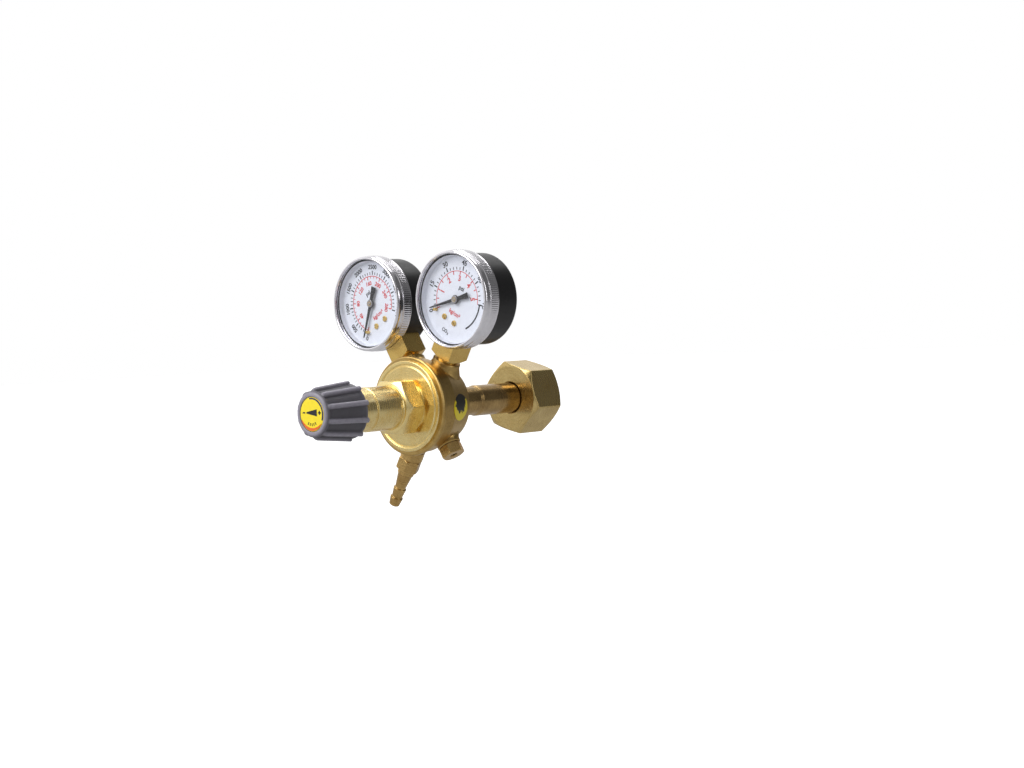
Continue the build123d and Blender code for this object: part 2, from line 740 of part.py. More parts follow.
def tooth(pitch_radius, half_width, y0, y1, clock, centre):
    """One narrow tooth with a flat tip, kept short so the mesh runs with backlash."""
    root, tip = pitch_radius - 1.1 * GEAR_MODULE, pitch_radius + 0.6 * GEAR_MODULE
    corners = [
        (-1.5 * half_width, root),
        (-0.55 * half_width, tip),
        (0.55 * half_width, tip),
        (1.5 * half_width, root),
    ]
    outline = []
    for across, radius in corners:
        u, w = around(clock, radius)
        side_u, side_w = around(clock + 90, across)
        outline.append((centre[0] + u + side_u, centre[1] + w + side_w))
    return plate(outline, y0, y1)


def pinion_arbor():
    """The pointer's shaft with its pinion and the polished cap in front of the pointer."""
    pitch_radius = GEAR_MODULE * PINION_TEETH / 2
    solid = rod(ARBOR_R, POINTER_Y[0] - 0.3, BACK_PLATE_Y[0] + 0.5)
    solid += rod(0.95, POINTER_Y[0] - 0.7, POINTER_Y[0])
    solid += rod(pitch_radius - 0.95 * GEAR_MODULE, *PINION_Y)
    for number in range(PINION_TEETH):
        clock = SECTOR_PIVOT_CLOCK + (number + 0.5) * 360 / PINION_TEETH
        solid += tooth(pitch_radius, TOOTH_HALF_WIDTH, *PINION_Y, clock, (0, 0))
    return solid


def sector_gear():
    """A toothed sector on its own arbor, with the tail that the link pulls."""
    pivot = around(SECTOR_PIVOT_CLOCK, SECTOR_PIVOT_R)
    pitch_radius = GEAR_MODULE * SECTOR_TEETH / 2
    mesh_clock = SECTOR_PIVOT_CLOCK - 180
    step = 360 / SECTOR_TEETH
    first, last = SECTOR_TOOTH_NUMBERS
    start = mesh_clock + (first - 0.5) * step
    slice_of = (last - first + 1) * step / ARC_STEPS

    def arc(radius, from_step, to_step):
        points = [around(start + slice_of * number, radius) for number in range(from_step, to_step + 1)]
        return [(pivot[0] + u, pivot[1] + w) for u, w in points]

    root = pitch_radius - 1.0 * GEAR_MODULE
    solid = plate([pivot] + arc(root, 0, ARC_STEPS), *SECTOR_Y)
    window = arc(0.72 * root, 2, ARC_STEPS - 2)
    narrow_end = [arc(0.3 * root, ARC_STEPS - 2, ARC_STEPS - 2)[0], arc(0.3 * root, 2, 2)[0]]
    solid -= plate(window + narrow_end, SECTOR_Y[0] - 1, SECTOR_Y[1] + 1)
    for number in range(first, last + 1):
        clock = mesh_clock + number * step
        solid += tooth(pitch_radius, TOOTH_HALF_WIDTH, *SECTOR_Y, clock, pivot)
    tail = sector_tail()
    solid += bar(pivot, tail, 1.6, *SECTOR_Y)
    solid += rod(0.4, SECTOR_Y[0], LINK_Y[1] + 0.1, *tail)
    solid += rod(1.4, SECTOR_Y[0] - 0.2, SECTOR_Y[1] + 0.2, *pivot)
    return solid + rod(ARBOR_R + 0.1, FRONT_PLATE_Y[0] + 0.2, BACK_PLATE_Y[0] + 0.5, *pivot)


def sector_tail():
    """Where the link's pin stands on the sector, as (u, w)."""
    pivot = around(SECTOR_PIVOT_CLOCK, SECTOR_PIVOT_R)
    tail = around(TAIL_CLOCK, SECTOR_TAIL)
    return pivot[0] + tail[0], pivot[1] + tail[1]


def link():
    tail = sector_tail()
    strip = bar(tail, LINK_END_UW, 1.7, *LINK_Y)
    return strip - rod(0.45, LINK_Y[0] - 1, LINK_Y[1] + 1, *tail)


def hairspring():
    """A flat spiral from the arbor's collet to a stud on its outside."""
    turns, steps_a_turn, inner, outer, thick = 3.5, 12, 0.75, 3.9, 0.16
    steps = int(turns * steps_a_turn)
    front, rear = BACK_PLATE_Y[0] - 0.9, BACK_PLATE_Y[0] - 0.5
    points = []
    for number in range(steps + 1):
        share = number / steps
        u, w = around(share * turns * 360, inner + (outer - inner) * share)
        points.append((u, front, w))
    line = Spline(*points)
    face = Plane(origin=line @ 0, x_dir=(0, 1, 0), z_dir=line % 0) * Rectangle(rear - front, thick)
    collet = pipe(inner + 0.1, ARBOR_R, front, rear)
    return collet + sweep(face, path=line)


def pointer():
    """A tapered hand with a hub and a counterweight tail, at its zero position."""
    hub = rod(2.0, *POINTER_Y)
    blade = plate([(-0.75, 0), (-0.28, POINTER_TIP), (0.28, POINTER_TIP), (0.75, 0)], *POINTER_Y)
    neck = plate([(-0.6, 0), (0.6, 0), (0.6, -5.0), (-0.6, -5.0)], *POINTER_Y)
    tail = plate([(-1.25, -4.6), (1.25, -4.6), (1.25, -POINTER_TAIL), (-1.25, -POINTER_TAIL)], *POINTER_Y)
    hand = hub + blade + neck + tail - rod(ARBOR_R, POINTER_Y[0] - 1, POINTER_Y[1] + 1)
    return Rot(0, ZERO_CLOCK, 0) * hand


def gauge(prefix, clock):
    """All the nodes of one gauge."""
    centred = {
        "case": gauge_case(),
        "bezel": gauge_bezel(),
        "lens": gauge_lens(),
        "dial": gauge_dial(),
        "stop_pin": stop_pin(),
        "dial_screws": dial_screws(),
        "bourdon_tube": bourdon_tube(),
        "movement_frame": movement_frame(),
        "sector_gear": sector_gear(),
        "pinion_arbor": pinion_arbor(),
        "link": link(),
        "hairspring": hairspring(),
        "pointer": pointer(),
    }
    nodes = {f"{prefix}_{name}": on_gauge(shape, clock) for name, shape in centred.items()}
    nodes[f"{prefix}_socket"] = gauge_socket(clock)
    return nodes


def all_nodes():
    nodes = {
        "regulator_body": regulator_body(),
        "body_sticker": body_sticker(),
        "bonnet": bonnet(),
        "diaphragm": diaphragm(),
        "slip_ring": slip_ring(),
        "diaphragm_plate": diaphragm_plate(),
        "regulating_spring": regulating_spring(),
        "spring_button": spring_button(),
        "adjusting_screw": adjusting_screw(),
        "knob": knob(),
        "knob_label": knob_label(),
        "inlet_stem": inlet_stem(),
        "inlet_filter": inlet_filter(),
        "inlet_washer": inlet_washer(),
        "inlet_nut": inlet_nut(),
        "valve_seat": valve_seat(),
        "valve_pin": valve_pin(),
        "valve_poppet": valve_poppet(),
        "poppet_spring": poppet_spring(),
        "outlet_barb": outlet_barb(),
        "relief_body": relief_body(),
        "relief_seat": relief_seat(),
        "relief_poppet": relief_poppet(),
        "relief_spring": relief_spring(),
    }
    nodes |= gauge("cylinder_gauge", CYLINDER_GAUGE_CLOCK)
    nodes |= gauge("outlet_gauge", OUTLET_GAUGE_CLOCK)
    return nodes


os.makedirs("parts", exist_ok=True)
for name, shape in all_nodes().items():
    export_step(shape, f"parts/{name}.step")
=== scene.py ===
"""Looks of the carbon dioxide regulator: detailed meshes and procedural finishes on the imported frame.

Shapes are in millimetres in a local frame whose Y axis is the piece's own axis, and each is set in
place by one matrix. An outline is a list of (station, radius) points: a station is a place along
that axis. A clock angle is seen from the knob: 0 is the piece's top, and it grows clockwise.
"""

import math

import bmesh
import bpy
from mathutils import Matrix, Vector


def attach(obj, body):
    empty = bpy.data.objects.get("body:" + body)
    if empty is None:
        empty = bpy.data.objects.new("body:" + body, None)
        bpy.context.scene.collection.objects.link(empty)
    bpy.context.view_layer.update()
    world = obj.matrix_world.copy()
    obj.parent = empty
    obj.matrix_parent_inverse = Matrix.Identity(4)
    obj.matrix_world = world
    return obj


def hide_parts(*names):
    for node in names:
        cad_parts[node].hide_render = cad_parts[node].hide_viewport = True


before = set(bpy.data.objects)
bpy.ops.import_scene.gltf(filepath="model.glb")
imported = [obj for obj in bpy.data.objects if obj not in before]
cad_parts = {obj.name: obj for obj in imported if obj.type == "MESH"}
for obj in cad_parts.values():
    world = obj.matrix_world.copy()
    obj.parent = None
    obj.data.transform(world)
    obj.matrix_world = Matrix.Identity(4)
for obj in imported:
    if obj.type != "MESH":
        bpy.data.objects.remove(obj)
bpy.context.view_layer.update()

MM = 0.001
PORT_Y = -64.0
GAUGE_CENTRE = 56.1
CYLINDER_GAUGE = "cylinder_gauge"
OUTLET_GAUGE = "outlet_gauge"
GAUGE_CLOCK = {CYLINDER_GAUGE: -30.0, OUTLET_GAUGE: 30.0}
RELIEF_CLOCK = 150.0
HOSE_CLOCK = -150.0
KNOB_FRONT = -139.3
KNOB_TAPER = 0.096


# Mesh building

def around(clock, radius):
    """The point at a clock angle and radius, as (right, up)."""
    angle = math.radians(clock)
    return radius * math.sin(angle), radius * math.cos(angle)


def soften(outline, radius=0.3, ring=False):
    """Round each corner of an outline, with a point on each side to keep the flats flat."""
    points = [Vector(p) for p in outline]
    count = len(points)
    made = []
    for number, corner in enumerate(points):
        at_end = not ring and number in (0, count - 1)
        before, after = points[number - 1], points[(number + 1) % count]
        if at_end:
            made.append(corner)
            continue
        back, ahead = before - corner, after - corner
        cut = min(radius, 0.38 * back.length, 0.38 * ahead.length)
        keep = min(0.35 * radius, 0.08 * back.length, 0.08 * ahead.length)
        start, end = corner + back.normalized() * cut, corner + ahead.normalized() * cut
        made.append(start + back.normalized() * keep)
        for step in range(5):
            share = step / 4
            made.append(start.lerp(corner, share).lerp(corner.lerp(end, share), share))
        made.append(end + ahead.normalized() * keep)
    return [tuple(p) for p in made]


def refine(outline, start, end, step):
    """Add points to the runs of an outline that lie between two stations."""
    made = []
    for here, there in zip(outline, outline[1:]):
        made.append(here)
        middle = (here[0] + there[0]) / 2
        run = math.dist(here, there)
        if start <= middle <= end and run > step:
            pieces = math.ceil(run / step)
            for number in range(1, pieces):
                made.append(tuple(a + (b - a) * number / pieces for a, b in zip(here, there)))
    return made + [outline[-1]]


def soft_min(values, sharpness=90.0):
    """The smallest of some radii, with the change from one to another rounded."""
    return sum(v ** -sharpness for v in values) ** (-1 / sharpness)


def soft_max(values, sharpness=40.0):
    return sum(v ** sharpness for v in values) ** (1 / sharpness)


def polygon_limit(across_flats, sides, corner_clock, start, end, floor):
    """A shape that cuts turned radii down to a polygon between two stations, above a radius."""
    turn_angle = 2 * math.pi / sides
    first = math.radians(corner_clock) + turn_angle / 2

    def limited(angle, station, radius):
        if not start <= station <= end or radius < floor:
            return radius
        off = (angle - first + turn_angle / 2) % turn_angle - turn_angle / 2
        flats = []
        for side in (-1, 0, 1):
            facing = math.cos(off + side * turn_angle)
            if facing > 0.2:
                flats.append(across_flats / 2 / facing)
        return soft_min(flats + [radius])

    return limited


class Solid:
    """Points and faces gathered from several shapes, in millimetres."""

    def __init__(self):
        self.points = []
        self.faces = []

    def add(self, points, faces):
        base = len(self.points)
        self.points += [tuple(p) for p in points]
        self.faces += [tuple(base + i for i in face) for face in faces]
        return self

    def turn(self, outline, segments=180, ring=False, shape=None):
        """Turn an outline about Y. A ring closes on itself; shape(angle, station, radius) may change it."""
        points, faces, rows = [], [], []
        for station, radius in outline:
            if radius < 1e-6:
                rows.append([len(points)] * segments)
                points.append((0, station, 0))
                continue
            row = []
            for number in range(segments):
                angle = 2 * math.pi * number / segments
                size = shape(angle, station, radius) if shape else radius
                row.append(len(points))
                points.append((size * math.sin(angle), station, size * math.cos(angle)))
            rows.append(row)
        pairs = list(zip(rows, rows[1:]))
        if ring:
            pairs.append((rows[-1], rows[0]))
        for low, high in pairs:
            for number in range(segments):
                after = (number + 1) % segments
                corners = [low[number], low[after], high[after], high[number]]
                face = [c for place, c in enumerate(corners) if c != corners[place - 1]]
                if len(face) > 2:
                    faces.append(face)
        return self.add(points, faces)

    def slab(self, outline, front, rear):
        """A flat plate of (right, up) points between two stations."""
        count = len(outline)
        points = [(u, front, w) for u, w in outline] + [(u, rear, w) for u, w in outline]
        faces = [tuple(range(count)), tuple(range(2 * count - 1, count - 1, -1))]
        for number in range(count):
            after = (number + 1) % count
            faces.append((number, number + count, after + count, after))
        return self.add(points, faces)

    def band(self, inner, outer, first, last, front, rear):
        """A flat curved strip between two radii and two clock angles."""
        steps = max(2, math.ceil(abs(last - first) / 3))
        points, faces = [], []
        for number in range(steps + 1):
            clock = first + (last - first) * number / steps
            for radius, station in ((inner, front), (outer, front), (outer, rear), (inner, rear)):
                u, w = around(clock, radius)
                points.append((u, station, w))
        for number in range(steps):
            a, b = 4 * number, 4 * number + 4
            for side in range(4):
                other = (side + 1) % 4
                faces.append((a + side, a + other, b + other, b + side))
        faces += [(0, 1, 2, 3), tuple(4 * steps + i for i in (3, 2, 1, 0))]
        return self.add(points, faces)

    def tick(self, clock, inner, outer, width, front, rear):
        """A straight radial mark."""
        side_u, side_w = around(clock + 90, width / 2)
        near, far = around(clock, inner), around(clock, outer)
        outline = [
            (near[0] - side_u, near[1] - side_w),
            (far[0] - side_u, far[1] - side_w),
            (far[0] + side_u, far[1] + side_w),
            (near[0] + side_u, near[1] + side_w),
        ]
        return self.slab(outline, front, rear)

    def text(self, words, height, place, lean, front, weight=0.05, thick=0.02):
        """Flat lettering that faces the knob's side, centred on a (right, up) place and leaned clockwise."""
        curve = bpy.data.curves.new("lettering", "FONT")
        curve.body = words
        curve.size = height / 0.7
        curve.align_x = "CENTER"
        curve.align_y = "CENTER"
        curve.extrude = thick / 2
        curve.offset = weight
        curve.resolution_u = 3
        holder = bpy.data.objects.new("lettering", curve)
        bpy.context.scene.collection.objects.link(holder)
        bpy.context.view_layer.update()
        mesh = bpy.data.meshes.new_from_object(holder)
        bpy.data.objects.remove(holder)
        turn_cos, turn_sin = math.cos(math.radians(lean)), math.sin(math.radians(lean))
        points = []
        for vertex in mesh.vertices:
            x, y, z = vertex.co
            u = x * turn_cos + y * turn_sin
            w = y * turn_cos - x * turn_sin
            points.append((place[0] + u, front + thick / 2 - z, place[1] + w))
        self.add(points, [tuple(p.vertices) for p in mesh.polygons])
        bpy.data.meshes.remove(mesh)
        return self


def piece(name, solid, matrix, body, finish, nodes=(), sharp=None):
    """Make a solid into a smooth mesh in place, riding on a body, with its own-frame places stored."""
    mesh = bpy.data.meshes.new(name)
    mesh.from_pydata(solid.points, [], solid.faces)
    edit = bmesh.new()
    edit.from_mesh(mesh)
    bmesh.ops.remove_doubles(edit, verts=edit.verts, dist=1e-5)
    bmesh.ops.recalc_face_normals(edit, faces=edit.faces)
    edit.to_mesh(mesh)
    edit.free()
    own_place = mesh.attributes.new("own_place", "FLOAT_VECTOR", "POINT")
    own_place.data.foreach_set("vector", [x for vertex in mesh.vertices for x in vertex.co])
    mesh.transform(Matrix.Scale(MM, 4) @ matrix)
    mesh.materials.append(finish)
    mesh.polygons.foreach_set("use_smooth", [True] * len(mesh.polygons))
    if sharp:
        mesh.set_sharp_from_angle(angle=math.radians(sharp))
    made = bpy.data.objects.new(name, mesh)
    bpy.context.scene.collection.objects.link(made)
    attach(made, body)
    if nodes:
        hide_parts(*nodes)
    return made


MAIN_AXIS = Matrix.Identity(4)


def on_port(clock):
    """The place of a radial fitting, whose own Y axis runs out of the body."""
    roll = Matrix.Rotation(math.radians(clock), 4, "Y")
    return roll @ Matrix.Translation((0, PORT_Y, 0)) @ Matrix.Rotation(math.radians(90), 4, "X")


def on_gauge(gauge):
    """The place of a gauge's parts, centred on the gauge and rolled with its port."""
    roll = Matrix.Rotation(math.radians(GAUGE_CLOCK[gauge]), 4, "Y")
    return roll @ Matrix.Translation((0, 0, GAUGE_CENTRE))


# Finishes

class Finish:
    """A procedural material. Places are in millimetres: a piece's own, or the frame's for a CAD node."""

    def __init__(self, name, own=True, **values):
        self.material = bpy.data.materials.new(name)
        self.material.use_nodes = True
        self.tree = self.material.node_tree
        self.shader = self.tree.nodes["Principled BSDF"]
        for socket, value in values.items():
            self.shader.inputs[socket.replace("_", " ")].default_value = value
        if own:
            self.place = self.node("Attribute", "Vector", settings={"attribute_name": "own_place"})
        else:
            metres = self.node("TexCoord", "Object")
            self.place = self.node("VectorMath", "Vector", {0: metres, 3: 1 / MM}, {"operation": "SCALE"})

    def node(self, kind, output, inputs=None, settings=None):
        """Add a node, set or link its inputs, and give back one output."""
        made = self.tree.nodes.new("ShaderNode" + kind)
        for key, value in (settings or {}).items():
            setattr(made, key, value)
        for key, value in (inputs or {}).items():
            if isinstance(value, bpy.types.NodeSocket):
                self.tree.links.new(value, made.inputs[key])
            else:
                made.inputs[key].default_value = value
        return made.outputs[output]

    def math(self, operation, a, b=0.0):
        return self.node("Math", 0, {0: a, 1: b}, {"operation": operation})

    def noise(self, scale, detail=3.0, roughness=0.55):
        inputs = {"Vector": self.place, "Scale": scale, "Detail": detail, "Roughness": roughness}
        return self.node("TexNoise", 0, inputs)

    def split(self):
        made = self.tree.nodes.new("ShaderNodeSeparateXYZ")
        self.tree.links.new(self.place, made.inputs[0])
        return made.outputs

    def length(self, a, b):
        squares = self.math("ADD", self.math("MULTIPLY", a, a), self.math("MULTIPLY", b, b))
        return self.math("SQRT", squares)

    def axial(self):
        """The place along the axis plus the distance from it, which every turned line keeps."""
        x, y, z = self.split()
        return self.math("ADD", y, self.length(x, z))

    def lines(self, scale, detail=4.0):
        """Turning lines: a noise that only changes across the lathe's marks."""
        inputs = {"W": self.axial(), "Scale": scale, "Detail": detail, "Roughness": 0.7}
        return self.node("TexNoise", 0, inputs, {"noise_dimensions": "1D"})

    def ramp(self, value, low, high, to_low=0.0, to_high=1.0):
        inputs = {0: value, 1: low, 2: high, 3: to_low, 4: to_high}
        return self.node("MapRange", 0, inputs)

    def mix(self, share, first, second):
        inputs = {0: share, 6: first, 7: second}
        return self.node("Mix", 2, inputs, {"data_type": "RGBA"})

    def bump(self, height, strength, distance, under=None):
        inputs = {"Strength": strength, "Distance": distance * MM, "Height": height}
        if under:
            inputs["Normal"] = under
        return self.node("Bump", 0, inputs)

    def wear(self, socket, value):
        self.tree.links.new(value, self.shader.inputs[socket])


def colour(red, green, blue):
    """A linear colour from screen values of 0 to 255."""
    linear = [((c / 255 + 0.055) / 1.055) ** 2.4 if c > 10 else c / 3300 for c in (red, green, blue)]
    return (*linear, 1.0)


def brass(name, light, dark, roughness, own=True, line=(2.5, 0.1), grain=(5.0, 0.06), spread=0.05):
    """Brass with tarnish clouds, marks (turned lines per mm and strength, or none) and a fine grain."""
    made = Finish(name, own, Metallic=1.0, Roughness=roughness)
    clouds = made.noise(0.12, 4.0, 0.6)
    flecks = made.noise(1.4, 3.0, 0.7)
    marks = made.lines(line[0]) if line else made.noise(grain[0], 3.0, 0.7)
    share = made.math("ADD", made.ramp(clouds, 0.3, 0.7, 0.0, 0.55), made.ramp(marks, 0.3, 0.7, -0.12, 0.3))
    share = made.math("ADD", share, made.ramp(flecks, 0.4, 0.7, -0.1, 0.2))
    made.wear("Base Color", made.mix(made.ramp(share, 0.0, 1.0), light, dark))
    rough = made.math("ADD", made.ramp(marks, 0.3, 0.7, -spread, spread), roughness)
    made.wear("Roughness", made.math("ADD", rough, made.ramp(clouds, 0.3, 0.7, -0.03, 0.05)))
    fine = made.noise(grain[0], 3.0, 0.6)
    rings = made.bump(marks, line[1], 0.04) if line else None
    made.wear("Normal", made.bump(fine, grain[1], 0.04, rings))
    return made.material


def plain_metal(name, tone, roughness, own=False):
    """Drawn or stamped metal with faint marks."""
    made = Finish(name, own, Metallic=1.0, Roughness=roughness)
    marks = made.noise(2.0, 4.0, 0.7)
    darker = tuple(0.72 * c for c in tone[:3]) + (1.0,)
    made.wear("Base Color", made.mix(made.ramp(marks, 0.35, 0.7), tone, darker))
    made.wear("Roughness", made.ramp(marks, 0.3, 0.7, roughness - 0.08, roughness + 0.1))
    made.wear("Normal", made.bump(marks, 0.12, 0.05))
    return made.material


def knob_plastic():
    """Grey plastic with random mottle, painted highlight on the ribs and front rim, and painted shade down in
    the grooves.
    """
    made = Finish("knob_plastic", Roughness=0.4)
    made.shader.inputs["Specular IOR Level"].default_value = 0.5
    x, y, z = made.split()
    widening = made.math("MULTIPLY", made.math("ADD", y, -KNOB_FRONT), KNOB_TAPER)
    height = made.math("SUBTRACT", made.length(x, z), widening)
    mottle = made.noise(0.5, 4.0, 0.6)
    # Painted light: the grey is paler on the rib tops and front rim as painted highlight, and darker in the
    # grooves as painted shade.
    ribs = made.ramp(height, 10.0, 11.5)
    rim = made.ramp(y, KNOB_FRONT + 0.9, KNOB_FRONT + 0.1)
    painted_light_mask = made.math("MAXIMUM", ribs, rim)
    tone = made.mix(painted_light_mask, colour(74, 72, 78), colour(150, 146, 158))
    mottled_with_painted_light = made.mix(made.ramp(mottle, 0.3, 0.7, 0.0, 0.3), tone, colour(96, 93, 102))
    made.wear("Base Color", mottled_with_painted_light)
    made.wear("Roughness", made.ramp(mottle, 0.3, 0.7, 0.34, 0.48))
    made.wear("Normal", made.bump(made.noise(4.0, 3.0, 0.7), 0.06, 0.03))
    return made.material


def chrome():
    made = Finish("bezel_chrome", Metallic=1.0, Roughness=0.1)
    haze = made.noise(0.35, 3.0, 0.6)
    made.wear("Base Color", made.mix(made.ramp(haze, 0.3, 0.7), colour(244, 242, 246), colour(230, 228, 234)))
    made.wear("Roughness", made.ramp(haze, 0.3, 0.7, 0.07, 0.17))
    made.wear("Normal", made.bump(made.noise(0.5, 2.0), 0.05, 0.03))
    return made.material


def black_enamel():
    made = Finish("case_enamel", Roughness=0.34)
    orange_peel = made.noise(2.2, 2.0, 0.5)
    dust = made.noise(5.0, 4.0, 0.75)
    made.wear("Base Color", made.mix(made.ramp(dust, 0.55, 0.75), colour(16, 15, 16), colour(38, 35, 34)))
    made.wear("Roughness", made.ramp(dust, 0.35, 0.7, 0.28, 0.5))
    made.wear("Normal", made.bump(orange_peel, 0.1, 0.05, made.bump(dust, 0.05, 0.03)))
    return made.material


def lens_glass():
    """A clear window: it lets light straight through and reflects more at a slant, alike on both faces."""
    made = Finish("lens_glass")
    tree = made.tree
    clear = tree.nodes.new("ShaderNodeBsdfTransparent")
    clear.inputs["Color"].default_value = (0.985, 0.99, 1.0, 1.0)
    gloss = tree.nodes.new("ShaderNodeBsdfGlossy")
    gloss.inputs["Roughness"].default_value = 0.04
    both = tree.nodes.new("ShaderNodeMixShader")
    slant = made.node("LayerWeight", "Facing", {"Blend": 0.5})
    share = made.math("ADD", made.math("MULTIPLY", made.math("POWER", slant, 4.0), 0.45), 0.02)
    tree.links.new(share, both.inputs[0])
    tree.links.new(clear.outputs[0], both.inputs[1])
    tree.links.new(gloss.outputs[0], both.inputs[2])
    tree.links.new(both.outputs[0], tree.nodes["Material Output"].inputs["Surface"])
    tree.nodes.remove(made.shader)
    return made.material


def enamel(name, tone, roughness=0.55, own=True):
    """Printed or painted matt colour with faint unevenness."""
    made = Finish(name, own, Roughness=roughness)
    patches = made.noise(0.4, 3.0, 0.6)
    darker = tuple(0.93 * c for c in tone[:3]) + (1.0,)
    made.wear("Base Color", made.mix(made.ramp(patches, 0.3, 0.7), tone, darker))
    made.wear("Roughness", made.ramp(patches, 0.3, 0.7, roughness - 0.06, roughness + 0.08))
    made.wear("Normal", made.bump(made.noise(7.0, 2.0), 0.05, 0.03))
    return made.material


def sticker_print():
    """Yellow foil with a plain dark blot, ragged at its edge."""
    made = Finish("sticker_print", own=False, Roughness=0.35)
    centre_y, centre_z = -64.9, 1.7
    _, y, z = made.split()
    wobble = made.ramp(made.noise(0.55, 3.0, 0.7), 0.3, 0.7, -1.3, 1.3)
    off_y = made.math("SUBTRACT", y, centre_y)
    off_z = made.math("MULTIPLY", made.math("SUBTRACT", z, centre_z), 0.92)
    far = made.math("ADD", made.length(off_y, off_z), wobble)
    shade = made.ramp(far, 4.9, 5.3, 1.0, 0.0)
    made.wear("Base Color", made.mix(shade, colour(236, 214, 30), colour(18, 16, 10)))
    made.wear("Normal", made.bump(made.noise(3.0, 2.0), 0.06, 0.03))
    return made.material


BONNET_BRASS = colour(250, 230, 166), colour(222, 186, 110)
BODY_BRASS = colour(202, 170, 106), colour(148, 118, 66)
SOCKET_BRASS = colour(232, 198, 118), colour(196, 156, 82)
STEM_BRASS = colour(200, 168, 112), colour(122, 94, 58)
NUT_BRASS = colour(224, 198, 134), colour(176, 146, 88)
FITTING_BRASS = colour(210, 176, 112), colour(152, 116, 66)

FINISH = {
    "bonnet": brass("bonnet_brass", *BONNET_BRASS, 0.24, True, (2.0, 0.05), (4.0, 0.02)),
    "body": brass("body_brass", *BODY_BRASS, 0.34, False, None, (3.0, 0.14)),
    "socket": brass("socket_brass", *SOCKET_BRASS, 0.24, False, None, (3.0, 0.03)),
    "stem": brass("stem_brass", *STEM_BRASS, 0.2, True, (2.0, 0.12), (4.0, 0.03)),
    "nut": brass("nut_brass", *NUT_BRASS, 0.24, True, (2.0, 0.1), (4.0, 0.03)),
    "fitting": brass("fitting_brass", *FITTING_BRASS, 0.28, True, (2.0, 0.1), (3.0, 0.06)),
    "fitting_inside": brass("fitting_inside_brass", *FITTING_BRASS, 0.34, False, None),
    "movement": plain_metal("movement_brass", colour(222, 190, 116), 0.28),
    "gilt": plain_metal("gilt_brass", colour(230, 196, 120), 0.25, own=True),
    "cap": plain_metal("pointer_cap", colour(178, 172, 170), 0.3, own=True),
    "steel": plain_metal("screw_steel", colour(190, 190, 192), 0.32),
    "wire": plain_metal("spring_wire", colour(170, 170, 172), 0.3),
    "bronze": plain_metal("filter_bronze", colour(170, 130, 84), 0.6),
    "rubber": enamel("diaphragm_rubber", colour(38, 38, 38), 0.7, own=False),
    "nylon": enamel("washer_nylon", colour(232, 228, 214), 0.5, own=False),
    "knob": knob_plastic(),
    "chrome": chrome(),
    "case": black_enamel(),
    "lens": lens_glass(),
    "dial": enamel("dial_paint", colour(236, 238, 246), 0.5),
    "ink_black": enamel("ink_black", colour(24, 24, 30), 0.6),
    # Navy for the painted shade along the knob label's edge.
    "painted_shade_navy": enamel("painted_shade_navy", colour(34, 36, 84), 0.5),
    "ink_red": enamel("ink_red", colour(214, 60, 64), 0.6),
    "pointer": enamel("pointer_paint", colour(20, 20, 24), 0.4),
    "label": enamel("label_yellow", colour(250, 226, 40), 0.35),
    "label_orange": enamel("label_orange", colour(232, 106, 40), 0.4),
    "sticker": sticker_print(),
}

CARRIED_OVER = {
    "regulator_body": "body",
    "body_sticker": "sticker",
    "diaphragm": "rubber",
    "slip_ring": "movement",
    "diaphragm_plate": "movement",
    "regulating_spring": "wire",
    "spring_button": "movement",
    "adjusting_screw": "steel",
    "inlet_filter": "bronze",
    "inlet_washer": "nylon",
    "valve_seat": "fitting_inside",
    "valve_pin": "steel",
    "valve_poppet": "fitting_inside",
    "poppet_spring": "wire",
    "relief_seat": "fitting_inside",
    "relief_poppet": "movement",
    "relief_spring": "wire",
}
GAUGE_CARRIED_OVER = {
    "bourdon_tube": "movement",
    "movement_frame": "movement",
    "sector_gear": "movement",
    "link": "movement",
    "hairspring": "movement",
    "pinion_arbor": "movement",
    "socket": "socket",
}


def paint_frame():
    """Give every CAD node that stays visible its own finish."""
    painted = dict(CARRIED_OVER)
    for gauge in GAUGE_CLOCK:
        for part, finish in GAUGE_CARRIED_OVER.items():
            painted[f"{gauge}_{part}"] = finish
    for node, finish in painted.items():
        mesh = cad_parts[node].data
        mesh.materials.clear()
        mesh.materials.append(FINISH[finish])


# Bonnet side

def bonnet():
    """Flange with a raised lip, chamfered hexagon and tube with a groove."""
    hex_rear, hex_front = -82.1, -91.4
    outside = [
        (-75.6, 21.3),
        (-80.2, 21.3),
        (-80.5, 21.0),
        (-80.5, 19.6),
        (-80.05, 19.3),
        (-80.05, 18.9),
        (-80.45, 18.5),
        (-80.45, 12.1),
        (hex_rear, 12.1),
        (hex_rear - 0.02, 15.2),
        (-89.0, 15.2),
        (hex_front, 11.3),
        (hex_front - 0.1, 10.45),
        (hex_front - 0.6, 10.3),
        (-107.4, 10.3),
        (-107.6, 9.65),
        (-108.3, 9.65),
        (-108.5, 10.15),
        (-118.4, 10.1),
        (-119.0, 9.5),
        (-119.0, 5.05),
    ]
    inside = [(-107.0, 5.05), (-107.0, 8.6), (-75.6, 8.6)]
    outline = soften(outside + inside, 0.22, ring=True)
    outline = refine(outline, hex_front - 0.1, hex_rear, 0.25)
    shape = polygon_limit(24.4, 6, 30, hex_front - 0.05, hex_rear + 0.01, 10.8)
    solid = Solid().turn(outline, 360, ring=True, shape=shape)
    piece("bonnet_shell", solid, MAIN_AXIS, "regulator", FINISH["bonnet"], ["bonnet"])


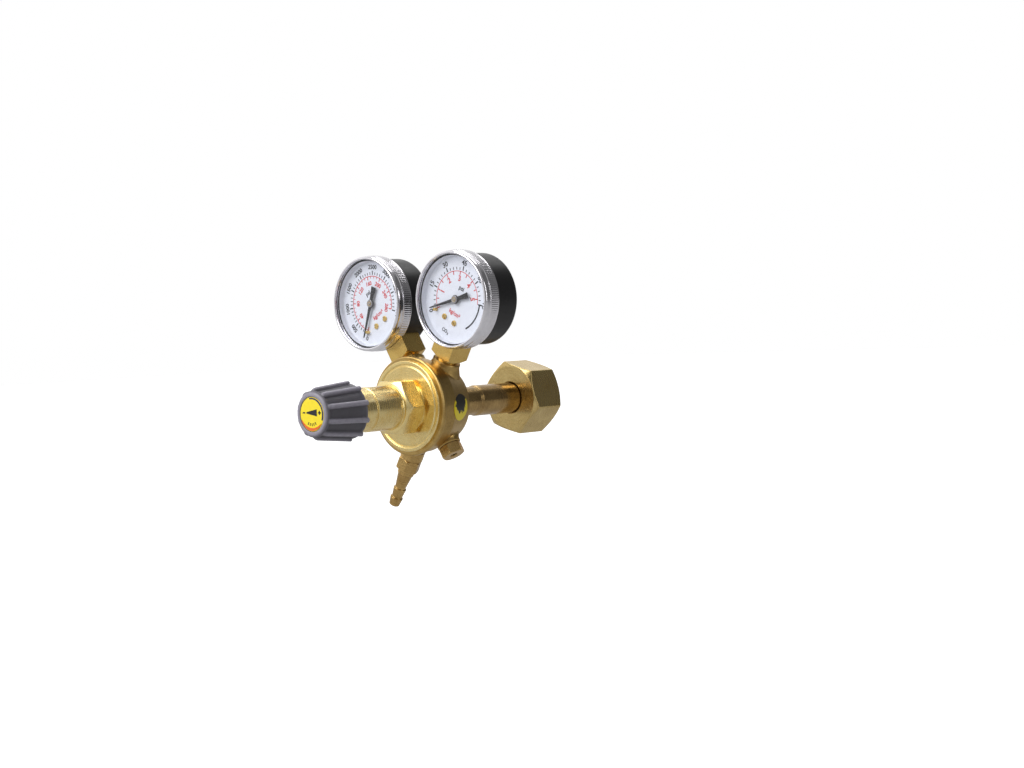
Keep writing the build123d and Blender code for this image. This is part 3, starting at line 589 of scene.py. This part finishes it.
def knob():
    """A tapered grip with a smooth front rim and ten rounded ribs."""
    front, rear, ribs, rib_radius, rib_height = KNOB_FRONT, -116.4, 10, 1.3, 1.2
    rim_radius, rear_radius, groove_depth = 10.4, 12.6, 0.55
    pitch = 2 * math.pi / ribs

    def ribbed(angle, station, radius):
        core = rim_radius + (rear_radius - rim_radius) * (station - front) / (rear - front)
        if radius < core - 0.6 or station < front + 1.2:
            return radius
        sunk = min(1.0, (station - front - 1.2) / 1.4, max(0.0, rear - 0.4 - station) / 0.8)
        radius -= groove_depth * max(0.0, sunk) ** 2 * (3 - 2 * max(0.0, sunk))
        off = (angle + pitch / 2) % pitch - pitch / 2
        rise = min(1.0, max(0.0, (station - front - 1.2) / 2.2))
        centre = core + rib_height * math.sqrt(rise * (2 - rise)) - rib_radius
        reach = rib_radius ** 2 - (centre * math.sin(off)) ** 2
        if reach <= 0:
            return radius
        return soft_max([radius, centre * math.cos(off) + math.sqrt(reach)], 160)

    outside = [
        (-138.6, 0),
        (-138.6, 7.8),
        (front + 0.25, 7.85),
        (front, 8.2),
        (front, 9.3),
        (front + 1.0, 10.45),
        (rear - 0.25, rear_radius),
        (rear, 12.3),
        (rear, 10.9),
        (-125.8, 10.9),
        (-125.8, 0),
    ]
    outline = refine(soften(outside, 0.45), front + 0.8, front + 4.0, 0.25)
    outline = refine(outline, front + 4.0, rear, 1.0)
    solid = Solid().turn(outline, 480, shape=ribbed)
    piece("knob_grip", solid, MAIN_AXIS, "knob", FINISH["knob"], ["knob"])


def knob_label():
    """A domed yellow disc with a navy arc of painted shade along its upper-right edge, an orange crescent and
    a wedge from minus to plus.
    """
    profile = [(-138.6, 0), (-138.6, 7.65), (-138.9, 7.65), (-139.05, 6.5), (-139.12, 0)]
    disc = Solid().turn(soften(profile, 0.12), 120)
    piece("label_disc", disc, MAIN_AXIS, "knob", FINISH["label"], ["knob_label"])
    front, rear = -139.16, -138.95
    crescent = Solid()
    outer_edge, inner_edge = [], []
    for step in range(25):
        clock = 125 + 125 * step / 24
        depth = 1.25 * math.sin(math.pi * step / 24) ** 0.6
        outer_edge.append(around(clock, 7.35))
        inner_edge.append(around(clock, 7.35 - depth))
    crescent.slab(outer_edge + inner_edge[-2:0:-1], front + 0.02, rear)
    piece("label_crescent", crescent, MAIN_AXIS, "knob", FINISH["label_orange"], sharp=30)
    # Painted shade: a navy arc along the label's upper-right edge, where the gap to the rim lies in shade.
    arc = Solid()
    arc.band(6.75, 7.4, -10.0, 112.0, front, rear)
    piece("label_painted_shade_arc", arc, MAIN_AXIS, "knob", FINISH["painted_shade_navy"], sharp=30)
    marks = Solid()
    marks.slab([(-3.4, 0.4), (-3.4, 1.0), (3.4, 2.3), (3.4, -0.9)], front, rear)
    marks.slab([(-5.9, 0.4), (-5.9, 1.0), (-4.3, 1.0), (-4.3, 0.4)], front, rear)
    marks.slab([(4.2, 0.4), (4.2, 1.0), (6.0, 1.0), (6.0, 0.4)], front, rear)
    marks.slab([(4.8, 0.98), (4.8, 1.6), (5.4, 1.6), (5.4, 0.98)], front, rear)
    marks.slab([(4.8, -0.2), (4.8, 0.42), (5.4, 0.42), (5.4, -0.2)], front, rear)
    for clock in (-150, -165, 180, 165, 150):
        marks.tick(clock, 4.0, 5.3, 0.4, front, rear)
    piece("label_marks", marks, MAIN_AXIS, "knob", FINISH["ink_black"], sharp=30)


# Inlet side

def inlet_stem():
    """Nipple, tube and screwed end, with the filter's seat and the poppet spring's pocket inside."""
    outline = [
        (-1.6, 3.6),
        (-1.6, 8.8),
        (-2.0, 9.2),
        (-6.0, 9.2),
        (-6.0, 7.4),
        (-34.7, 7.4),
        (-35.1, 7.15),
        (-35.7, 7.15),
        (-36.0, 6.85),
        (-52.4, 6.85),
        (-52.8, 7.0),
        (-55.0, 7.0),
        (-55.0, 6.6),
        (-61.0, 6.6),
        (-61.0, 3.6),
        (-52.0, 3.6),
        (-52.0, 2.5),
        (-9.6, 2.5),
        (-9.6, 3.6),
    ]
    solid = Solid().turn(soften(outline, 0.2, ring=True), 180, ring=True)
    piece("stem_tube", solid, MAIN_AXIS, "regulator", FINISH["stem"], ["inlet_stem"])


def inlet_nut():
    """The union nut, with turned chamfers and a real thread in its mouth."""
    front, rear, thread_depth, pitch = -9.0, 10.4, 1.05, 25.4 / 14
    flats = polygon_limit(32.0, 6, -14, front - 0.1, rear + 0.1, 12.0)

    def shape(angle, station, radius):
        if radius < 10.0 and 0.3 < station < rear - 0.2:
            turns = station / pitch - angle / (2 * math.pi)
            wave = abs(turns % 1.0 - 0.5) * 2
            fade = min(1.0, (station - 0.3) / 0.8)
            return radius + thread_depth * fade * min(1.0, max(0.0, 1.25 * wave - 0.125))
        return flats(angle, station, radius)

    outline = [
        (front, 7.8),
        (front, 15.7),
        (front + 2.1, 19.0),
        (rear - 2.1, 19.0),
        (rear, 15.7),
        (rear, 10.9),
        (rear - 1.0, 9.74),
        (0.0, 9.74),
        (-0.2, 10.2),
        (-6.3, 10.2),
        (-6.3, 7.8),
    ]
    outline = soften(outline, 0.3, ring=True)
    outline = refine(outline, front - 0.1, rear, 0.22)
    solid = Solid().turn(outline, 360, ring=True, shape=shape)
    piece("nut_hexagon", solid, MAIN_AXIS, "inlet_nut", FINISH["nut"], ["inlet_nut"])


# Outlet side, each about its own port

def outlet_barb():
    """Threaded end, hexagon and a tail with two barb rings."""
    flats = polygon_limit(10.0, 6, 30, 29.8, 35.95, 4.4)
    outline = [
        (15.0, 1.4),
        (15.0, 4.8),
        (23.9, 4.8),
        (24.2, 4.3),
        (24.6, 5.5),
        (29.3, 5.5),
        (29.5, 5.0),
        (29.8, 5.0),
        (30.4, 6.0),
        (35.3, 6.0),
        (35.9, 4.9),
        (36.1, 4.05),
        (38.1, 4.0),
        (38.5, 3.6),
        (45.9, 2.55),
        (46.4, 3.15),
        (51.0, 2.5),
        (51.5, 3.1),
        (55.45, 2.5),
        (55.75, 2.2),
        (55.75, 1.4),
    ]
    outline = refine(soften(outline, 0.16, ring=True), 29.8, 36.0, 0.2)
    solid = Solid().turn(outline, 192, ring=True, shape=flats)
    place = on_port(HOSE_CLOCK)
    piece("barb_tail", solid, place, "regulator", FINISH["fitting"], ["outlet_barb"])


def relief_valve():
    """Hexagonal cap with its vent hole."""
    flats = polygon_limit(9.8, 6, 30, 22.5, 27.65, 4.3)
    outline = [
        (15.0, 2.6),
        (15.0, 4.2),
        (22.4, 4.2),
        (22.5, 4.8),
        (23.0, 5.9),
        (27.1, 5.9),
        (27.6, 4.9),
        (27.6, 1.9),
        (27.2, 1.6),
        (26.0, 1.6),
        (26.0, 2.6),
    ]
    outline = refine(soften(outline, 0.16, ring=True), 22.5, 27.6, 0.2)
    solid = Solid().turn(outline, 192, ring=True, shape=flats)
    place = on_port(RELIEF_CLOCK)
    piece("relief_shell", solid, place, "regulator", FINISH["fitting"], ["relief_body"])


# Gauges

BEZEL_KNURLS = 150
PRINT_FRONT, PRINT_REAR = -72.46, -72.4
ZERO_CLOCK = -131.0
SCALE_START = -135.0
CLOSING_ARC_END = 131.0
STOP_PIN_CLOCK, STOP_PIN_RADIUS = -137.0, 13.9
SCREW_RIGHT, SCREW_UP, SLOT_LEAN = 3.4, -10.6, 35


def gauge_case(gauge):
    outline = [
        (-75.0, 20.5),
        (-75.0, 21.2),
        (-55.4, 21.2),
        (-54.2, 20.7),
        (-53.6, 19.4),
        (-53.6, 0),
        (-54.8, 0),
        (-54.8, 20.5),
    ]
    outline = soften(outline[:5], 0.9)[1:] + outline[5:]
    outline = refine(outline, -76, -53.5, 2.5)
    solid = Solid().turn([(-75.0, 20.5)] + outline + [(-75.0, 20.5)], 160)
    place, node = on_gauge(gauge), f"{gauge}_case"
    piece(f"{gauge}_cup", solid, place, "regulator", FINISH["case"], [node])


def gauge_bezel(gauge):
    """A rolled chrome ring: rounded lip, smooth band and a knurled band behind it."""
    knurl_front, knurl_rear = -73.4, -68.7

    def knurled(angle, station, radius):
        if radius < 22.3 or not knurl_front <= station <= knurl_rear:
            return radius
        edge = min(station - knurl_front, knurl_rear - station) / 0.35
        return radius - 0.14 * min(1.0, max(0.0, edge)) * (0.5 + 0.5 * math.cos(BEZEL_KNURLS * angle))

    outline = [
        (-68.0, 21.25),
        (-68.0, 22.4),
        (-68.45, 22.8),
        (-73.6, 22.8),
        (-73.9, 22.5),
        (-75.6, 22.6),
        (-76.5, 22.45),
        (-77.1, 22.0),
        (-77.2, 21.5),
        (-76.95, 21.05),
        (-76.3, 20.95),
        (-76.3, 21.65),
        (-75.0, 21.65),
        (-75.0, 21.25),
    ]
    outline = refine(soften(outline, 0.35, ring=True), -74, -68, 0.45)
    solid = Solid().turn(outline, 4 * BEZEL_KNURLS, ring=True, shape=knurled)
    place, node = on_gauge(gauge), f"{gauge}_bezel"
    piece(f"{gauge}_ring", solid, place, "regulator", FINISH["chrome"], [node])


def gauge_glass(gauge):
    outline = soften([(-76.28, 0), (-76.28, 21.6), (-75.15, 21.6), (-75.15, 0)], 0.15)
    solid = Solid().turn(outline, 120)
    place, node = on_gauge(gauge), f"{gauge}_lens"
    piece(f"{gauge}_window", solid, place, "regulator", FINISH["lens"], [node])


def gauge_dial(gauge):
    """The white face, with its turned-up edge inside the case."""
    outline = [
        (-71.8, 0),
        (-71.8, 20.4),
        (-74.98, 20.4),
        (-75.0, 20.2),
        (-72.8, 20.0),
        (-72.4, 19.6),
        (-72.4, 0),
    ]
    solid = Solid().turn(soften(outline, 0.2), 200)
    place, node = on_gauge(gauge), f"{gauge}_dial"
    piece(f"{gauge}_face", solid, place, "regulator", FINISH["dial"], [node])


def tangent_text(ink, words, height, clock, radius, weight=0.075):
    """A number that leans with its place on the scale."""
    ink.text(words, height, around(clock, radius), clock, PRINT_FRONT, weight)


def scale_ticks(ink, first, last, count, each, radii, widths):
    """Evenly spaced ticks, every so many of them longer and wider. Radii are inner, minor end, major end."""
    for number in range(count + 1):
        clock = first + (last - first) * number / count
        major = number % each == 0
        inner, minor_end, major_end = radii
        end = major_end if major else minor_end
        width = widths[1] if major else widths[0]
        ink.tick(clock, min(inner, end), max(inner, end), width, PRINT_FRONT, PRINT_REAR)


def cylinder_print():
    """Cylinder pressure: 0 to 4000 psi outside in black, 0 to 280 kg/cm2 inside in red."""
    black, red = Solid(), Solid()
    step, red_step = 33.7, 38.3
    end, red_end = SCALE_START + 8 * step, SCALE_START + 7 * red_step
    scale_ticks(black, SCALE_START, end, 40, 5, (13.7, 15.0, 15.7), (0.36, 0.55))
    for number in range(1, 9):
        tangent_text(black, str(500 * number), 2.0, SCALE_START + step * number, 17.3)
    tangent_text(black, "0", 2.0, SCALE_START, 17.0)
    red.band(12.9, 13.25, SCALE_START, red_end, PRINT_FRONT, PRINT_REAR)
    scale_ticks(red, SCALE_START, red_end, 28, 4, (13.1, 12.0, 11.4), (0.3, 0.45))
    for number in range(1, 8):
        tangent_text(red, str(40 * number), 1.9, SCALE_START + red_step * number, 9.6)
    black.text("psi", 2.0, (0.2, 5.6), 0, PRINT_FRONT, 0.07)
    red.text("kg/cm\u00b2", 1.9, (0.4, -6.5), 0, PRINT_FRONT, 0.07)
    return black, red


def outlet_print():
    """Outlet pressure: 0 to 75 psi outside in black with a closing arc, 0 to 5 kg/cm2 inside in red."""
    black, red = Solid(), Solid()
    step, red_step = 41.5, 39.4
    end = SCALE_START + 5 * step
    scale_ticks(black, SCALE_START, end, 25, 5, (13.7, 14.9, 15.8), (0.38, 0.6))
    for number in range(6):
        tangent_text(black, str(15 * number), 2.3, SCALE_START + step * number, 17.3)
    black.band(14.0, 14.75, end, CLOSING_ARC_END, PRINT_FRONT, PRINT_REAR)
    black.tick(end, 13.4, 16.4, 0.5, PRINT_FRONT, PRINT_REAR)
    red.band(12.9, 13.2, SCALE_START, end, PRINT_FRONT, PRINT_REAR)
    scale_ticks(red, SCALE_START, SCALE_START + 5 * red_step, 10, 1, (13.1, 12.0, 11.4), (0.3, 0.45))
    for number in range(1, 6):
        tangent_text(red, str(number), 2.5, SCALE_START + red_step * number, 9.7, 0.1)
    black.text("psi", 2.1, (0.4, 5.8), 0, PRINT_FRONT, 0.07)
    red.text("kg/cm\u00b2", 1.9, (1.6, -6.5), 0, PRINT_FRONT, 0.07)
    black.text("CO\u2082", 1.6, (-0.1, -16.4), 0, PRINT_FRONT, 0.06)
    return black, red


def gauge_print(gauge):
    black, red = cylinder_print() if gauge == CYLINDER_GAUGE else outlet_print()
    place = on_gauge(gauge)
    piece(f"{gauge}_black_print", black, place, "regulator", FINISH["ink_black"], sharp=30)
    piece(f"{gauge}_red_print", red, place, "regulator", FINISH["ink_red"], sharp=30)


def gauge_pointer(gauge):
    """A tapered blade with a broad tail, a stepped hub and its cap."""
    front, rear, body = -73.9, -73.5, f"{gauge}_pointer"
    hand = Solid()
    hand.slab([(-0.8, 1.0), (-0.3, 16.4), (0, 17.3), (0.3, 16.4), (0.8, 1.0)], front, rear)
    hand.slab([(-1.0, -4.0), (-1.4, -8.2), (1.4, -8.2), (1.0, -4.0), (0.8, -1.0), (-0.8, -1.0)], front, rear)
    hand.turn(soften([(front - 0.05, 0), (front - 0.05, 2.05), (rear, 2.05), (rear, 0)], 0.12), 60)
    turned = on_gauge(gauge) @ Matrix.Rotation(math.radians(ZERO_CLOCK), 4, "Y")
    piece(f"{gauge}_hand", hand, turned, body, FINISH["pointer"], [body], sharp=35)
    cap = Solid()
    collar = [(front - 0.6, 1.0), (front - 0.6, 1.75), (front, 1.75), (front, 1.0)]
    cap.turn(soften(collar, 0.15, ring=True), 60, ring=True)
    cap.turn(soften([(front - 0.75, 0), (front - 0.75, 0.75), (front, 0.75), (front, 0)], 0.2), 48)
    piece(f"{gauge}_hand_cap", cap, turned, body, FINISH["cap"])


def gauge_trim(gauge):
    """The slotted screws that hold the dial, and the pointer's stop pin."""
    place = on_gauge(gauge)
    screws, slots = Solid(), Solid()
    profile = [(-73.0, 0), (-73.0, 1.35), (-72.4, 1.35), (-72.4, 0.8), (-70.5, 0.8), (-70.5, 0)]
    head = Solid().turn(soften(profile, 0.15), 48)
    along, across = around(SLOT_LEAN + 90, 1.9), around(SLOT_LEAN, 0.28)
    for u in (-SCREW_RIGHT, SCREW_RIGHT):
        screws.add([(x + u, y, z + SCREW_UP) for x, y, z in head.points], head.faces)
        outline = []
        for a, b in ((1, 1), (1, -1), (-1, -1), (-1, 1)):
            corner_u = u + a * along[0] + b * across[0]
            outline.append((corner_u, SCREW_UP + a * along[1] + b * across[1]))
        slots.slab(outline, -73.4, -72.65)
    node = f"{gauge}_dial_screws"
    made = piece(f"{gauge}_screws", screws, place, "regulator", FINISH["gilt"], [node])
    cutter = piece("slot_cutter", slots, place, "regulator", FINISH["gilt"])
    cut = made.modifiers.new("slots", "BOOLEAN")
    cut.operation = "DIFFERENCE"
    cut.solver = "EXACT"
    cut.object = cutter
    bpy.context.view_layer.objects.active = made
    with bpy.context.temp_override(object=made, active_object=made, selected_objects=[made]):
        bpy.ops.object.modifier_apply(modifier=cut.name)
    bpy.data.objects.remove(cutter)
    made.data.set_sharp_from_angle(angle=math.radians(35))
    pin = Solid().turn(soften([(-74.3, 0), (-74.3, 0.75), (-71.8, 0.75), (-71.8, 0)], 0.2), 32)
    u, w = around(STOP_PIN_CLOCK, STOP_PIN_RADIUS)
    pin_place, node = place @ Matrix.Translation((u, 0, w)), f"{gauge}_stop_pin"
    piece(f"{gauge}_zero_pin", pin, pin_place, "regulator", FINISH["gilt"], [node])


# Stage, light and camera

AZIMUTH, ELEVATION, ROLL = 42.522, 1.931, -2.355
CAMERA_DISTANCE, CAMERA_SIDE, CAMERA_RISE = 1.01266, 0.02582, -0.00454
TARGET = Vector((0, 0.031, 0))


def camera_axes(azimuth, elevation, roll):
    """The directions to the right of, above and behind a camera."""
    a, e, r = (math.radians(x) for x in (azimuth, elevation, roll))
    back = Vector((math.sin(a) * math.cos(e), -math.cos(a) * math.cos(e), math.sin(e)))
    level = Vector((math.cos(a), math.sin(a), 0))
    above = back.cross(level)
    right = level * math.cos(r) + above * math.sin(r)
    return right, back.cross(right), back


def add_camera():
    right, above, back = camera_axes(AZIMUTH, ELEVATION, ROLL)
    data = bpy.data.cameras.new("camera")
    data.lens = 70.31
    data.sensor_width = 36.0
    made = bpy.data.objects.new("camera", data)
    place = TARGET + CAMERA_DISTANCE * back - CAMERA_SIDE * right - CAMERA_RISE * above
    made.matrix_world = Matrix.Translation(place) @ Matrix((right, above, back)).transposed().to_4x4()
    bpy.context.scene.collection.objects.link(made)
    bpy.context.scene.camera = made


def softbox(name, direction, distance, size, power):
    """An area light that looks at the object from a (right, above, back) direction."""
    right, above, back = camera_axes(AZIMUTH, 0, 0)
    way = (right * direction[0] + above * direction[1] + back * direction[2]).normalized()
    data = bpy.data.lights.new(name, "AREA")
    data.shape = "RECTANGLE"
    data.size, data.size_y = size
    data.energy = power
    made = bpy.data.objects.new(name, data)
    made.location = Vector((0, -0.06, 0.01)) + way * distance
    made.rotation_mode = "QUATERNION"
    made.rotation_quaternion = (-way).to_track_quat("-Z", "Y")
    bpy.context.scene.collection.objects.link(made)


def studio_world():
    """White to the camera; to the object, dimmer on the right, on the camera's side, overhead and below."""
    world = bpy.data.worlds.new("studio")
    bpy.context.scene.world = world
    world.use_nodes = True
    tree = world.node_tree
    right, _, back = camera_axes(AZIMUTH, 0, 0)

    def node(kind, **settings):
        made = tree.nodes.new("ShaderNode" + kind)
        for key, value in settings.items():
            setattr(made, key, value)
        return made

    direction = node("TexCoord").outputs["Generated"]

    def along(axis, low, high, at_low, at_high):
        product = node("VectorMath", operation="DOT_PRODUCT")
        tree.links.new(direction, product.inputs[0])
        product.inputs[1].default_value = axis
        span = node("MapRange")
        tree.links.new(product.outputs["Value"], span.inputs[0])
        for number, value in enumerate((low, high, at_low, at_high), 1):
            span.inputs[number].default_value = value
        return span.outputs[0]

    def joined(operation, first, second):
        made = node("Math", operation=operation)
        tree.links.new(first, made.inputs[0])
        tree.links.new(second, made.inputs[1])
        return made.outputs[0]

    upward = (0, 0, 1)
    beside = joined("MAXIMUM", along(right, 0.0, 0.7, 1.0, 0.12), along(upward, 0.6, 0.85, 0.0, 0.6))
    ahead = along(back, 0.25, 0.9, 1.0, 0.4)
    height = joined("MULTIPLY", along(upward, 0.6, 0.9, 1.0, 0.35), along(upward, -0.7, -0.25, 0.35, 1.0))
    level = joined("MULTIPLY", joined("MULTIPLY", beside, ahead), height)
    seen = node("LightPath").outputs["Is Camera Ray"]
    strength = joined("MAXIMUM", level, seen)
    tree.links.new(strength, tree.nodes["Background"].inputs["Strength"])
    tree.nodes["Background"].inputs["Color"].default_value = (1.0, 1.0, 1.0, 1.0)


def floor():
    """Pale paper that is blown out to white where the camera sees it, and is dimmer to the object."""
    made = Finish("floor_paper", own=False, Roughness=0.8)
    tone = made.noise(0.01, 2.0)
    made.wear("Base Color", made.mix(tone, (0.42, 0.42, 0.43, 1.0), (0.46, 0.46, 0.46, 1.0)))
    made.shader.inputs["Emission Color"].default_value = (1.0, 1.0, 1.0, 1.0)
    made.wear("Emission Strength", made.node("LightPath", "Is Camera Ray"))
    size, height = 6.0, -0.15
    mesh = bpy.data.meshes.new("floor")
    corners = [(-size, -size, height), (size, -size, height), (size, size, height), (-size, size, height)]
    mesh.from_pydata(corners, [], [(0, 1, 2, 3)])
    mesh.materials.append(made.material)
    paper = bpy.data.objects.new("floor", mesh)
    bpy.context.scene.collection.objects.link(paper)


paint_frame()
bonnet()
knob()
knob_label()
inlet_stem()
inlet_nut()
outlet_barb()
relief_valve()
for gauge_name in GAUGE_CLOCK:
    gauge_case(gauge_name)
    gauge_bezel(gauge_name)
    gauge_glass(gauge_name)
    gauge_dial(gauge_name)
    gauge_print(gauge_name)
    gauge_pointer(gauge_name)
    gauge_trim(gauge_name)

floor()
studio_world()
softbox("key", (-0.9, 0.85, 0.6), 1.3, (1.1, 0.9), 13)
softbox("top", (0.15, 1.0, -0.5), 1.2, (1.0, 0.5), 5)
softbox("right_fill", (1.0, 0.3, 0.6), 1.4, (0.3, 0.9), 2.5)
add_camera()
bpy.context.scene.view_settings.view_transform = "Standard"
